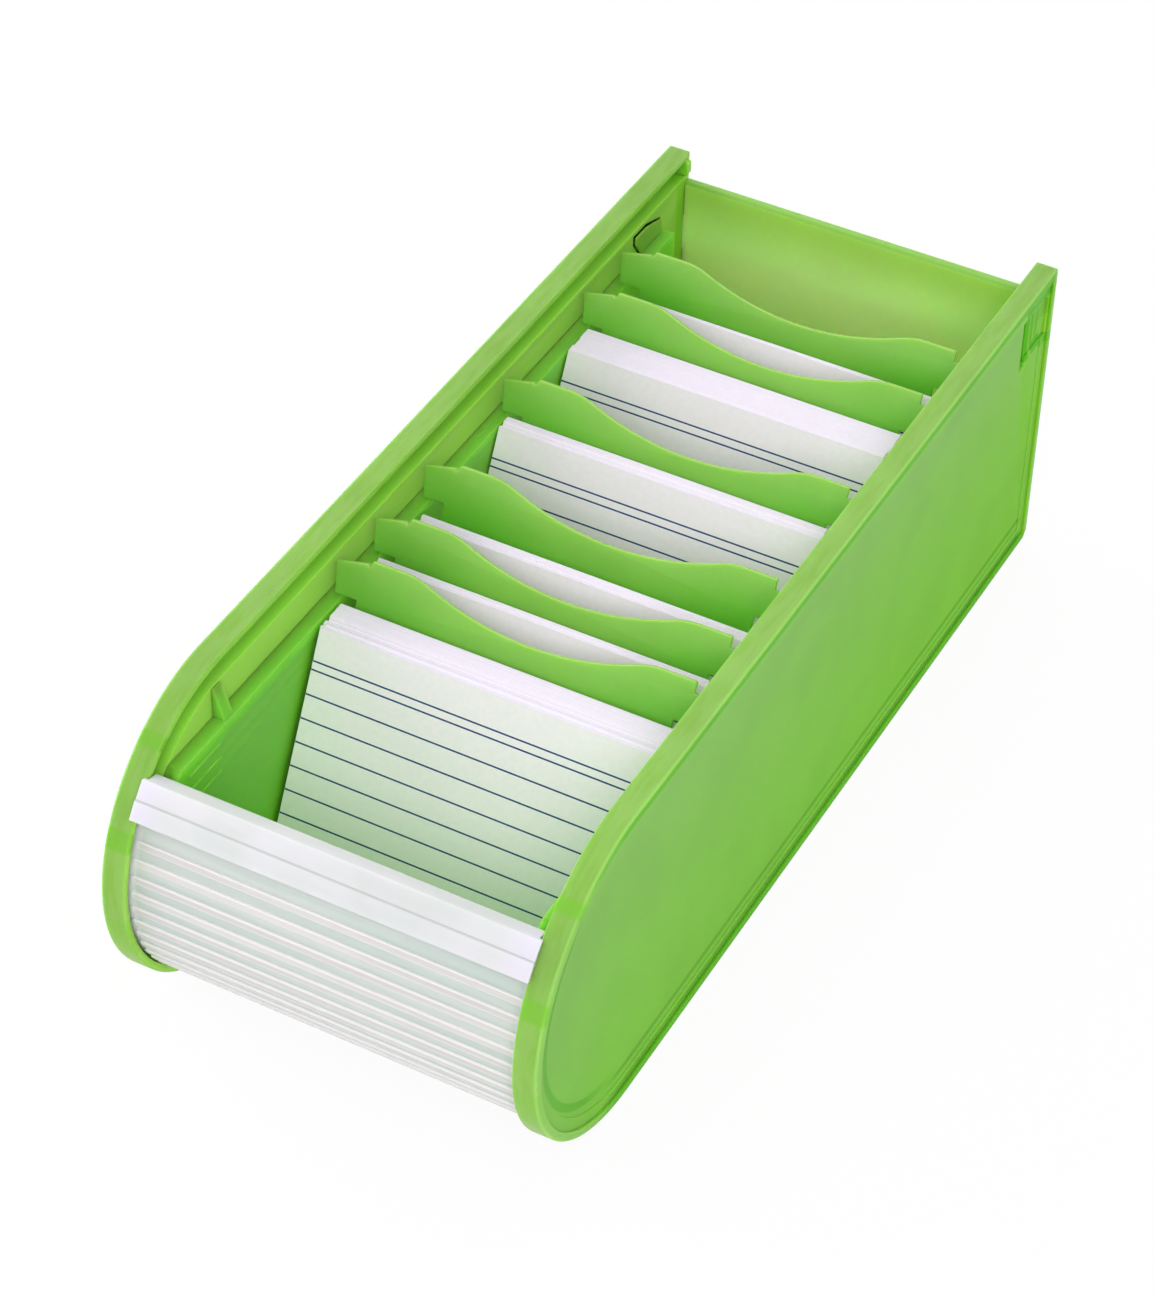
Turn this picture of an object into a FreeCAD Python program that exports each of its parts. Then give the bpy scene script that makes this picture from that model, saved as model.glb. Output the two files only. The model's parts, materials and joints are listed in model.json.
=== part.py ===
import FreeCAD, Part
import math
import os
import Sketcher

# Index card box for small cards, with a roll-up shutter that runs in grooves of the two side panels.
# X runs to the right, Y from the front to the rear and Z upwards; the origin is in the middle of the
# box, on the surface that it stands on. All sizes are in millimetres and degrees.

SIZES = [
    ("card_width", 74.0, "A8 card"),
    ("card_height", 52.0, "A8 card"),
    ("card_thickness", 0.25, "one card"),
    ("card_pitch", 0.28, "from card to card, square to the cards"),
    ("card_lean_angle", 26.1, "cards and dividers lean back from upright"),
    ("card_gap", 0.2, "lowest edge of the cards above the tray floor"),
    ("card_side_play", 1.5, "card edge to the tray wall, on each side"),
    ("card_trim", 0.45, "how unevenly the cards are cut"),
    ("card_shuffle", 0.12, "how far the cards stand out sideways"),
    ("box_length", 230.0, "front of the round end to the rear edge"),
    ("panel_wall", 5.1, "side panel, inner face to outer face"),
    ("lip_wall", 1.6, "rim of the side panel outside the shutter groove"),
    ("groove_width", 4.1, "shutter groove, square to the track"),
    ("groove_depth", 2.9, "shutter groove, into the side panel"),
    ("groove_end_wall", 2.0, "what closes the lower groove at the rear"),
    ("border_width", 1.9, "raised border round the outer face"),
    ("border_depth", 0.6, "height of that border"),
    ("field_inset", 2.7, "from that border to the second, finer step"),
    ("field_depth", 0.25, "depth of the second step"),
    ("rim_round", 0.5, "rounding of the outer rim edge"),
    ("foot_chamfer", 1.6, "bevel at the lower rear corner"),
    ("tray_play", 0.05, "between the card tray and each panel"),
    ("track_play", 0.1, "between the shutter groove and the tray"),
    ("tray_wall", 1.6, "walls, floor and ledge of the card tray"),
    ("ledge_width", 3.35, "ledge from the tray wall out to the side panel"),
    ("ledge_rise", 0.2, "ledge above the top of the cards"),
    ("floor_space", 8.5, "top of the tray floor above the lower groove"),
    ("front_wall_drop", 4.1, "curved wall behind the shutter below the ledge"),
    ("stop_ahead", 4.2, "divider stop ahead of the middle of the round end"),
    ("stop_length", 3.0, "divider stop, front to rear"),
    ("stop_play", 0.3, "divider stop below the upper groove"),
    ("stop_width", 3.3, "divider stop at its foot, out from the side panel"),
    ("stop_crest", 0.4, "divider stop at its top, out from the side panel"),
    ("rib_length", 10.5, "short ribs low on the tray walls, front to rear"),
    ("rib_width", 0.6, "height of one such rib"),
    ("rib_depth", 0.35, "how far it stands out of the wall"),
    ("rib_pitch", 3.4, "from one such rib to the next"),
    ("back_wall", 2.1, "thickness of the back panel"),
    ("back_top_play", 1.3, "back panel below the upper groove"),
    ("back_floor_play", 0.5, "back panel above the lower groove"),
    ("back_tab_height", 9.0, "each tab that enters a side panel"),
    ("back_tab_inset", 9.0, "tabs from the upper and lower edges"),
    ("back_tab_depth", 1.6, "how far the tabs reach into the side panel"),
    ("back_tab_fit", 0.1, "play round each tab"),
    ("back_bevel", 0.6, "bevel along the top edge of the back panel"),
    ("clip_inset", 26.4, "front of the clip window from the rear edge"),
    ("clip_length", 12.8, "clip window, front to rear"),
    ("clip_top_play", 1.4, "clip window below the upper groove"),
    ("clip_depth", 1.9, "clip window, into the side panel"),
    ("clip_shoulder", 3.5, "height over the ledge at which the outline of the clip bends"),
    ("clip_front_run", 2.4, "front of the clip, slant from its foot to that bend"),
    ("clip_rear_run", 7.0, "top of the clip, slant from that bend to its top"),
    ("clip_end_wall", 0.6, "side wall of the tray behind the clip"),
    ("clip_gap", 0.4, "dark gap round the clip"),
    ("clip_wall", 0.6, "upright of the clip, in front of its window"),
    ("mark_length", 10.4, "outer clip mark, front to rear"),
    ("mark_drop", 2.9, "outer clip mark below the ledge"),
    ("mark_top_play", 3.6, "outer clip mark below the border"),
    ("mark_rear_play", 0.5, "outer clip mark ahead of the border"),
    ("mark_depth", 0.45, "depth of that mark"),
    ("mark_bar", 2.4, "width of the deeper bar along its front"),
    ("peg_length", 1.9, "plug in the end of the upper groove, front to rear"),
    ("peg_reach", 0.5, "how far the nose of that plug stands out of the groove"),
    ("peg_nose", 2.9, "height of that nose"),
    ("peg_play", 0.1, "plug to groove"),
    ("shutter_play", 0.3, "between the shutter and the rim outside it"),
    ("web_wall", 1.0, "thickness of the shutter between its ribs"),
    ("slat_rise", 0.5, "height of a rib above the web"),
    ("slat_pitch", 3.69, "from rib to rib, at half the thickness"),
    ("slat_gap", 0.45, "between slats, where the shutter changes from straight to round"),
    ("slat_crown", 1.5, "width of one rib"),
    ("tongue_depth", 2.2, "how far the shutter enters each groove"),
    ("crown_play", 0.4, "rib ends to the rims"),
    ("smooth_angle", 4.0, "smooth stretch below the handle"),
    ("floor_tail", 5.0, "end of the open shutter to the rear edge"),
    ("handle_low_angle", 32.0, "lower edge of the handle above the horizontal"),
    ("handle_line_angle", 38.0, "step across the handle above the horizontal"),
    ("handle_high_angle", 46.8, "upper edge of the handle above the horizontal"),
    ("handle_rise", 1.3, "lower half of the handle above the rims"),
    ("handle_step", 0.25, "upper half below the lower half"),
    ("handle_rim_play", 0.3, "between the handle and the rims below it"),
    ("handle_over", 0.5, "how far the handle reaches over each rim"),
    ("handle_bevel_drop", 2.9, "bevel along the upper edge, towards the shutter"),
    ("handle_bevel_run", 1.8, "the same bevel, along the handle"),
    ("handle_edge", 0.8, "upper edge of the handle past the end of the shutter"),
    ("divider_wall", 1.2, "thickness of a divider"),
    ("divider_gap", 0.3, "lowest edge of a divider above the tray floor"),
    ("divider_side_play", 3.5, "divider below its ears to the tray wall, on each side"),
    ("divider_headroom", 0.79, "top of a divider to the closed shutter"),
    ("ear_gap", 0.28, "underside of the ears above the ledge"),
    ("ear_play", 0.8, "each ear to the side panel"),
    ("ear_rise", 6.5, "outer end of the ears, along the face"),
    ("ear_slope", 1.4, "rise of the left ear towards the middle"),
    ("ear_taper", 1.2, "each ear narrows downwards by this"),
    ("ear_notch", 0.6, "nick between the left ear and the divider"),
    ("crest_rise", 8.8, "raised top above the underside of the ears, along the face"),
    ("crest_inset", 1.8, "left end of the raised top, inward from the divider's edge"),
    ("crest_over", 2.9, "right end of the raised top, outward from the divider's edge"),
    ("shoulder_left", 9.85, "raised top to the left of the sag"),
    ("shoulder_right", 10.15, "raised top to the right of the sag"),
    ("dip_depth", 5.3, "depth of the sag"),
    ("dip_round", 16.0, "rounding of the shoulders"),
    ("stack_1_gap", 1.26, "rear card of the first stack to the divider behind it, along the floor"),
    ("stack_2_gap", 0.86, "the same for the second stack"),
    ("stack_3_gap", 3.86, "the same for the third stack"),
    ("stack_4_gap", 0.68, "the same for the fourth stack"),
    ("stack_5_gap", 0.68, "the same for the fifth stack"),
    ("stack_6_gap", 2.16, "the same for the sixth stack"),
    ("stack_1_shift", 0.6, "first stack to the left of the middle"),
    ("stack_2_shift", 1.0, "second stack to the left of the middle"),
    ("stack_3_shift", 0.5, "third stack to the left of the middle"),
    ("stack_4_shift", 1.0, "fourth stack to the left of the middle"),
    ("stack_5_shift", 1.0, "fifth stack to the left of the middle"),
    ("stack_6_shift", 0.9, "sixth stack to the left of the middle"),
    ("stack_2_lift", 0.4, "second stack stands this much higher than the first"),
    ("stack_4_lift", 0.5, "the same for the fourth stack"),
    ("stack_5_lift", 0.5, "the same for the fifth stack"),
    ("cut_overrun", 1.0, "how far cutting shapes reach past what they cut"),
]
DIVIDER_PLACE_SHARES = [0.2235, 0.2883, 0.373, 0.5148, 0.6678, 0.7417]
STACK_COUNTS = [26, 6, 8, 11, 28, 3]
BEND_SLATS = 7
TRAY_RIBS = 3
SHUFFLE_TURN = 2.4

doc = FreeCAD.newDocument("index_card_box")
sheet = doc.addObject("Spreadsheet::Sheet", "Sizes")
for row, (alias, number, note) in enumerate(SIZES, start=1):
    sheet.set(f"A{row}", alias)
    sheet.set(f"B{row}", str(number))
    sheet.setAlias(f"B{row}", alias)
    sheet.set(f"C{row}", note)
doc.recompute()


class Size:
    """A length, angle or count that carries its formula on the sheet and its present value."""

    def __init__(self, text, value):
        self.text = text
        self.value = float(value)

    @staticmethod
    def of(thing):
        return thing if isinstance(thing, Size) else Size(repr(thing), thing)

    def __add__(self, other):
        other = Size.of(other)
        return Size(f"({self.text} + {other.text})", self.value + other.value)

    def __sub__(self, other):
        other = Size.of(other)
        return Size(f"({self.text} - {other.text})", self.value - other.value)

    def __mul__(self, other):
        other = Size.of(other)
        return Size(f"({self.text} * {other.text})", self.value * other.value)

    def __truediv__(self, other):
        other = Size.of(other)
        return Size(f"({self.text} / {other.text})", self.value / other.value)

    def __neg__(self):
        return Size(f"(0 - {self.text})", -self.value)

    def cos(self):
        return Size(f"cos({self.text})", math.cos(math.radians(self.value)))

    def sin(self):
        return Size(f"sin({self.text})", math.sin(math.radians(self.value)))

    def whole(self):
        return Size(f"floor({self.text})", math.floor(self.value))


def named(alias):
    return Size(f"Sizes.{alias}", sheet.get(alias))


S = {alias: named(alias) for alias, number, note in SIZES}
ZERO = Size("0", 0)
RIGHT_ANGLE = Size("90", 90)
OVER = S["cut_overrun"]
LEAN = S["card_lean_angle"]

# Across: the cards set the tray's width, and that sets the width of the box.
TRAY_HALF = S["card_width"] / 2 + S["card_side_play"]
LEDGE_EDGE = TRAY_HALF + S["ledge_width"]
PANEL_INNER = LEDGE_EDGE + S["tray_play"]
HALF_WIDTH = PANEL_INNER + S["panel_wall"]

# Upwards: groove, tray floor, cards, ledge, dividers, shutter and rim.
RAIL = S["lip_wall"] + S["groove_width"]
FLOOR = RAIL + S["floor_space"]
LEDGE = FLOOR + S["card_height"] * LEAN.cos() + S["ledge_rise"]
DIVIDER_LOW = FLOOR + S["divider_gap"] + S["divider_wall"] * LEAN.sin()
EAR_LOW = (LEDGE + S["ear_gap"] - FLOOR - S["divider_gap"]) / LEAN.cos()
DIVIDER_HEIGHT = EAR_LOW + S["crest_rise"]
SHUTTER_TOP = DIVIDER_LOW + DIVIDER_HEIGHT * LEAN.cos() + S["divider_headroom"]
BOX_HEIGHT = SHUTTER_TOP + S["web_wall"] + S["slat_rise"] + S["shutter_play"] + S["lip_wall"]
UPPER_RAIL = BOX_HEIGHT - RAIL

# Front to rear: the round end has half the height as its radius.
ARC_RADIUS = BOX_HEIGHT / 2
REAR = S["box_length"] / 2
ARC_Y = ARC_RADIUS - REAR
BACK_FACE = REAR - S["back_wall"]

# Shutter radii about the middle of the round end.
RIB_OUTER = ARC_RADIUS - S["lip_wall"] - S["shutter_play"]
WEB_OUTER = RIB_OUTER - S["slat_rise"]
WEB_INNER = WEB_OUTER - S["web_wall"]
PITCH_RADIUS = (RIB_OUTER + WEB_INNER) / 2
TONGUE = PANEL_INNER + S["tongue_depth"]
CROWN = PANEL_INNER - S["crown_play"]
DEGREES = Size("(180 / pi)", math.degrees(1))


def turn_of(length, radius):
    """The angle that a length makes at a radius."""
    return length / radius * DEGREES


def bind(thing, **formulas):
    for prop, size in formulas.items():
        thing.setExpression(prop, size.text)
    return thing


def place(thing, x=ZERO, y=ZERO, z=ZERO, turn=None, axis=(1, 0, 0)):
    """Puts a thing at x, y, z, turned by an angle about an axis through its own origin."""
    if turn is not None:
        rotation = FreeCAD.Rotation(FreeCAD.Vector(*axis), turn.value)
        thing.Placement = FreeCAD.Placement(FreeCAD.Vector(), rotation)
        thing.setExpression("Placement.Rotation.Angle", f"{turn.text} * 1 deg")
    for letter, size in (("x", x), ("y", y), ("z", z)):
        thing.setExpression(f"Placement.Base.{letter}", size.text)
    return thing


def add_box(name, low, high):
    """A box between two corners."""
    box = doc.addObject("Part::Box", name)
    bind(box, Length=high[0] - low[0], Width=high[1] - low[1], Height=high[2] - low[2])
    return place(box, *low)


def add_round_end(name, inset, near, far, rear):
    """The side outline drawn in by inset, from x near to x far: a half disc and a straight run."""
    run = add_box(name + "_run", (near, ARC_Y, inset), (far, rear, BOX_HEIGHT - inset))
    nose = doc.addObject("Part::Cylinder", name + "_nose")
    bind(nose, Radius=ARC_RADIUS - inset, Height=far - near)
    place(nose, near, ARC_Y, ARC_RADIUS, RIGHT_ANGLE, (0, 1, 0))
    return join(name, [run, nose])


def join(name, shapes):
    fused = doc.addObject("Part::MultiFuse", name)
    fused.Shapes = shapes
    fused.Refine = True
    return fused


def cut(name, base, tool):
    result = doc.addObject("Part::Cut", name)
    result.Base = base
    result.Tool = tool
    result.Refine = True
    return result


def common(name, first, second):
    result = doc.addObject("Part::MultiCommon", name)
    result.Shapes = [first, second]
    return result


def edges_where(shape, test):
    """Numbers of the edges whose two ends both pass the test."""
    return [n for n, edge in enumerate(shape.Edges, start=1) if all(test(v.Point) for v in edge.Vertexes)]


def near_to(value, size):
    return abs(value - size.value) < NEAR


NEAR = S["tray_play"].value / 5


def mirrored(side, near, far):
    """The x range of something between near and far from the middle, on the right for 1 or left for -1."""
    return (near, far) if side > 0 else (-far, -near)


def side_box(name, side, near, far, low_y, high_y, low_z, high_z):
    low_x, high_x = mirrored(side, near, far)
    return add_box(name, (low_x, low_y, low_z), (high_x, high_y, high_z))


BACK_LOW = RAIL + S["back_floor_play"]
BACK_TOP = UPPER_RAIL - S["back_top_play"]
BACK_TABS = [("low", BACK_LOW + S["back_tab_inset"]),
             ("high", BACK_TOP - S["back_tab_inset"] - S["back_tab_height"])]
CLIP_Y = REAR - S["clip_inset"]
CLIP_END = CLIP_Y + S["clip_length"]
CLIP_TOP = UPPER_RAIL - S["clip_top_play"]


def wedge_box(name, side, near, far, low_z, high_z, low_front, low_rear, high_front, high_rear):
    """A block between two x faces, with other front and rear ends at its top than at its foot."""
    wedge = doc.addObject("Part::Wedge", name)
    low_x, high_x = mirrored(side, near, far)
    bind(wedge, Xmin=low_x, Xmax=high_x, X2min=low_x, X2max=high_x, Ymin=ZERO, Ymax=high_z - low_z,
         Zmin=ZERO, Zmax=low_rear - low_front, Z2min=low_rear - high_rear, Z2max=low_rear - high_front)
    return place(wedge, ZERO, low_rear, low_z, RIGHT_ANGLE)


def clip_shape(name, side, near, far, gap):
    """The outline of the clip and of its window, which slants at the front and along the top."""
    shoulder = LEDGE + S["clip_shoulder"]
    front = CLIP_Y + gap
    end = CLIP_END - gap
    foot = wedge_box(name + "_foot", side, near, far, LEDGE, shoulder, front + S["clip_front_run"], end,
                     front, end)
    head = wedge_box(name + "_head", side, near, far, shoulder, CLIP_TOP - gap, front, end, front,
                     end - S["clip_rear_run"])
    return [foot, head]


def side_panel(name, side):
    """A round-ended plate with a raised border outside and the shutter groove inside."""
    low_x, high_x = mirrored(side, PANEL_INNER, HALF_WIDTH)
    slab = add_round_end(name + "_slab", ZERO, low_x, high_x, REAR)
    doc.recompute()
    foot = doc.addObject("Part::Chamfer", name + "_foot")
    foot.Base = slab
    corner = edges_where(slab.Shape, lambda p: near_to(p.y, REAR) and near_to(p.z, ZERO))
    foot.Edges = [(n, S["foot_chamfer"].value, S["foot_chamfer"].value) for n in corner]
    doc.recompute()
    rim = doc.addObject("Part::Fillet", name + "_rim")
    rim.Base = foot
    outer_x = high_x if side > 0 else low_x
    outline = edges_where(foot.Shape, lambda p: near_to(p.x, outer_x))
    rim.Edges = [(n, S["rim_round"].value, S["rim_round"].value) for n in outline]

    step = HALF_WIDTH - S["border_depth"]
    near, far = mirrored(side, step, HALF_WIDTH + OVER)
    border = S["border_width"]
    recess = add_round_end(name + "_recess", border, near, far, REAR - border)
    near, far = mirrored(side, step - S["field_depth"], step + OVER)
    inset = border + S["field_inset"]
    field = add_round_end(name + "_field", inset, near, far, REAR - inset)

    groove_floor = PANEL_INNER + S["groove_depth"]
    near, far = mirrored(side, PANEL_INNER - OVER, groove_floor)
    lip = S["lip_wall"]
    outer_track = add_round_end(name + "_track_outer", lip, near, far, REAR - S["groove_end_wall"])
    inner_track = add_round_end(name + "_track_inner", RAIL, near - OVER, far + OVER, REAR + OVER)
    track = cut(name + "_track", outer_track, inner_track)
    mouth = side_box(name + "_mouth", side, PANEL_INNER - OVER, groove_floor, BACK_FACE - OVER,
                     REAR + OVER, UPPER_RAIL, BOX_HEIGHT - lip)

    window = clip_shape(name + "_window", side, PANEL_INNER - OVER, PANEL_INNER + S["clip_depth"], ZERO)
    mark_end = REAR - border - S["mark_rear_play"]
    mark_y = mark_end - S["mark_length"]
    mark_floor = step - S["field_depth"] - S["mark_depth"]
    mark_low = LEDGE - S["mark_drop"]
    mark_top = BOX_HEIGHT - border - S["mark_top_play"]
    mark = side_box(name + "_mark", side, mark_floor, HALF_WIDTH, mark_y, mark_end, mark_low, mark_top)
    bar = side_box(name + "_bar", side, mark_floor - S["mark_depth"], HALF_WIDTH, mark_y - S["mark_bar"],
                   mark_y, mark_low - S["mark_bar"], mark_top)
    fit = S["back_tab_fit"]
    slots = []
    for label, low_z in BACK_TABS:
        slots.append(side_box(f"{name}_slot_{label}", side, PANEL_INNER - OVER,
                              PANEL_INNER + S["back_tab_depth"] + fit, BACK_FACE - fit, REAR + OVER,
                              low_z - fit, low_z + S["back_tab_height"] + fit))
    tools = join(name + "_tools", [recess, field, track, mouth, mark, bar] + window + slots)
    return cut(name, rim, tools)


def gusset(name, side, half, low_y):
    """A three-cornered stop that stands on the ledge against the side panel."""
    wedge = doc.addObject("Part::Wedge", name)
    foot_near, foot_far = mirrored(side, half - S["stop_width"], half)
    crest_near, crest_far = mirrored(side, half - S["stop_crest"], half)
    low = LEDGE - S["tray_wall"]
    rise = UPPER_RAIL - S["stop_play"] - low
    bind(wedge, Xmin=foot_near, Xmax=foot_far, Ymin=ZERO, Ymax=rise, Zmin=ZERO, Zmax=S["stop_length"],
         X2min=crest_near, X2max=crest_far, Z2min=ZERO, Z2max=S["stop_length"])
    return place(wedge, ZERO, low_y + S["stop_length"], low, RIGHT_ANGLE)


def card_tray():
    """The trough that holds the cards: floor, two ledged walls and a curved wall behind the shutter."""
    half = LEDGE_EDGE
    inner = TRAY_HALF
    wall = S["tray_wall"]
    inset = RAIL + S["track_play"]
    end = BACK_FACE - S["tray_play"]
    beyond = end + OVER
    block = common("tray_block", add_round_end("tray_outline", inset, -half, half, end),
                   add_box("tray_band", (-half, -REAR, FLOOR - wall), (half, end, LEDGE)))
    well = common("tray_well", add_round_end("tray_hollow", inset + wall, -inner, inner, beyond),
                  add_box("tray_above", (-inner, -REAR, FLOOR), (inner, beyond, BOX_HEIGHT)))
    notch = add_box("tray_front_notch", (-inner, -REAR, LEDGE - S["front_wall_drop"]),
                    (inner, ARC_Y, BOX_HEIGHT))
    wall_end = CLIP_END + S["clip_end_wall"]
    rear = add_box("tray_rear_notch", (-half - OVER, wall_end, FLOOR), (half + OVER, beyond, BOX_HEIGHT))
    openings = [well, notch, rear]
    for side, word in ((-1, "left"), (1, "right")):
        openings.append(side_box(f"tray_gap_{word}", side, inner + wall, half + OVER, -REAR, beyond,
                                 FLOOR, LEDGE - wall))
    added = [cut("tray_trough", block, join("tray_openings", openings))]

    gap = S["clip_gap"]
    foot_y = CLIP_Y + gap + S["clip_front_run"]
    clip_end = CLIP_END - gap
    stop_y = ARC_Y - S["stop_ahead"]
    rib_end = stop_y - S["stop_length"]
    rib_start = rib_end - S["rib_length"]
    for side, word in ((-1, "left"), (1, "right")):
        added.append(gusset(f"tray_stop_{word}", side, half, stop_y))
        added += clip_shape(f"tray_clip_{word}", side, half - S["clip_wall"], half, gap)
        added.append(side_box(f"tray_clip_root_{word}", side, half - S["clip_wall"], half, foot_y, clip_end,
                              LEDGE - wall, LEDGE + gap))
        added.append(side_box(f"tray_hook_{word}", side, half - S["clip_wall"],
                              PANEL_INNER + S["clip_depth"] - gap, foot_y, clip_end, LEDGE + gap,
                              LEDGE + S["clip_shoulder"] - S["clip_gap"] * 3))
        for n in range(TRAY_RIBS):
            rib_z = LEDGE - S["rib_pitch"] * (n + 1)
            added.append(side_box(f"tray_rib_{word}_{n}", side, inner - S["rib_depth"], inner + wall / 2,
                                  rib_start, rib_end, rib_z, rib_z + S["rib_width"]))
    return join("card_tray", added)


def back_panel():
    half = LEDGE_EDGE
    plate = add_box("back_plate", (-half, BACK_FACE, BACK_LOW), (half, REAR, BACK_TOP))
    doc.recompute()
    bevel = doc.addObject("Part::Chamfer", "back_bevelled")
    bevel.Base = plate
    top = edges_where(plate.Shape, lambda p: near_to(p.z, BACK_TOP) and near_to(p.y, BACK_FACE))
    bevel.Edges = [(n, S["back_bevel"].value, S["back_bevel"].value) for n in top]
    parts = [bevel]
    for side, word in ((-1, "left"), (1, "right")):
        for label, low_z in BACK_TABS:
            parts.append(side_box(f"back_tab_{word}_{label}", side, half - OVER,
                                  PANEL_INNER + S["back_tab_depth"], BACK_FACE, REAR, low_z,
                                  low_z + S["back_tab_height"]))
    return join("back_panel", parts)


def track_stop(name, side):
    """The plug that closes the rear end of an upper groove and stops the handle."""
    play = S["peg_play"]
    start = REAR - S["peg_length"]
    plug = side_box(name + "_plug", side, PANEL_INNER, PANEL_INNER + S["groove_depth"] - play, start, REAR,
                    UPPER_RAIL + play, BOX_HEIGHT - S["lip_wall"] - play)
    nose_low = UPPER_RAIL + (S["groove_width"] - S["peg_nose"]) / 2
    nose = side_box(name + "_nose", side, PANEL_INNER - S["peg_reach"], PANEL_INNER + S["peg_reach"], start,
                    REAR, nose_low, nose_low + S["peg_nose"])
    return join(name, [plug, nose])


def origin_feature(body, role):
    return [f for f in body.Origin.OriginFeatures if f.Role == role][0]


def outline(body, name, plane, corners, tilt=None):
    """A closed sketch of straight lines whose corners are bound to the sheet."""
    sketch = body.newObject("Sketcher::SketchObject", name)
    sketch.AttachmentSupport = [(origin_feature(body, plane), "")]
    sketch.MapMode = "FlatFace"
    if tilt is not None:
        sketch.AttachmentOffset = FreeCAD.Placement(FreeCAD.Vector(),
                                                    FreeCAD.Rotation(FreeCAD.Vector(1, 0, 0), tilt.value))
        sketch.setExpression("AttachmentOffset.Rotation.Angle", f"{tilt.text} * 1 deg")
    points = [FreeCAD.Vector(u.value, v.value, 0) for u, v in corners]
    count = len(points)
    for n in range(count):
        sketch.addGeometry(Part.LineSegment(points[n], points[(n + 1) % count]), False)
    for n in range(count):
        sketch.addConstraint(Sketcher.Constraint("Coincident", n, 2, (n + 1) % count, 1))
    for n, (u, v) in enumerate(corners):
        for kind, size in (("DistanceX", u), ("DistanceY", v)):
            index = sketch.addConstraint(Sketcher.Constraint(kind, -1, 1, n, 1, size.value))
            sketch.setExpression(f"Constraints[{index}]", size.text)
    return sketch


def revolve(body, name, sketch, angle):
    """Turns a profile about the shutter axis, from its own plane towards the front and down."""
    feature = body.newObject("PartDesign::Revolution", name)
    feature.Profile = sketch
    feature.ReferenceAxis = (origin_feature(body, "X_Axis"), [""])
    feature.setExpression("Angle", angle.text)
    feature.Reversed = False
    return feature


def shutter_body(name, high):
    """A body on the shutter axis, turned so that its own upright is at the angle high."""
    body = doc.addObject("PartDesign::Body", name)
    return place(body, ZERO, ARC_Y, ARC_RADIUS, RIGHT_ANGLE - high)


def profile(half_width, low, high):
    return [(-half_width, low), (half_width, low), (half_width, high), (-half_width, high)]


def shutter_curtain_front():
    """The ribbed sheet on the round end, from under the handle to the lowest point."""
    name = "shutter_curtain_front"
    high = S["handle_high_angle"] - turn_of(S["handle_edge"], PITCH_RADIUS)
    body = shutter_body(name, high)
    web = outline(body, "web_profile", "XZ_Plane", profile(TONGUE, WEB_INNER, WEB_OUTER))
    revolve(body, "web", web, high + RIGHT_ANGLE)
    pitch = turn_of(S["slat_pitch"], PITCH_RADIUS)
    crown = turn_of(S["slat_crown"], PITCH_RADIUS)
    count = ((S["handle_low_angle"] - S["smooth_angle"] + RIGHT_ANGLE) / pitch).whole()
    first = high + RIGHT_ANGLE - pitch * (count * 2 - 1) / 2 - crown / 2
    foot = WEB_OUTER - S["web_wall"] / 2
    rib = outline(body, "rib_profile", "XZ_Plane", profile(CROWN, foot, RIB_OUTER), first)
    feature = revolve(body, "rib", rib, crown)
    pattern = body.newObject("PartDesign::PolarPattern", "ribs")
    pattern.Originals = [feature]
    pattern.Axis = (origin_feature(body, "X_Axis"), [""])
    pattern.setExpression("Angle", (pitch * (count - 1)).text)
    pattern.setExpression("Occurrences", count.text)
    body.Tip = pattern
    return body


def handle_profile(outer):
    """Narrow between the rims, and wider where it lies over them."""
    cap = PANEL_INNER + S["handle_over"]
    step = ARC_RADIUS + S["handle_rim_play"]
    return [(-CROWN, WEB_OUTER), (CROWN, WEB_OUTER), (CROWN, step), (cap, step), (cap, outer),
            (-cap, outer), (-cap, step), (-CROWN, step)]


def shutter_handle():
    """The grip on the leading edge: a lower half that spreads over the rims and a set-back upper half."""
    name = "shutter_handle"
    body = shutter_body(name, S["handle_line_angle"])
    outer = ARC_RADIUS + S["handle_rise"]
    revolve(body, "lower_half", outline(body, "lower_profile", "XZ_Plane", handle_profile(outer)),
            S["handle_line_angle"] - S["handle_low_angle"])
    rise = S["handle_high_angle"] - S["handle_line_angle"]
    outer = outer - S["handle_step"]
    upper = outline(body, "upper_profile", "XZ_Plane", handle_profile(outer), -rise)
    revolve(body, "upper_half", upper, rise)
    edge_turn = turn_of(S["handle_edge"], PITCH_RADIUS)
    nose = profile(CROWN, WEB_INNER, RIB_OUTER)
    revolve(body, "edge_strip", outline(body, "edge_profile", "XZ_Plane", nose, -rise), edge_turn)
    bevel_turn = rise - turn_of(S["handle_bevel_run"], outer)
    foot = outer - S["handle_bevel_drop"]
    high = (outer * bevel_turn.sin(), outer * bevel_turn.cos())
    low = (foot * rise.sin(), foot * rise.cos())
    run = low[0] - high[0]
    drop = high[1] - low[1]
    corners = [(high[0] - run, high[1] + drop), (low[0] + run, low[1] - drop),
               (low[0] + run, high[1] + drop)]
    bevel = body.newObject("PartDesign::Pocket", "upper_bevel")
    bevel.Profile = outline(body, "bevel_profile", "YZ_Plane", corners)
    bevel.Type = "ThroughAll"
    bevel.Midplane = True
    body.Tip = bevel
    return body


SLAT_WIDTH = S["slat_pitch"] - S["slat_gap"]
CROWN_INSET = (SLAT_WIDTH - S["slat_crown"]) / 2
SLAT_TOP = ARC_RADIUS - WEB_INNER
SLAT_LOW = ARC_RADIUS - WEB_OUTER


def slat_start(number):
    """The front edge of a slat, or of the straight part behind the last one."""
    return ARC_Y + S["slat_gap"] + S["slat_pitch"] * number


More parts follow.
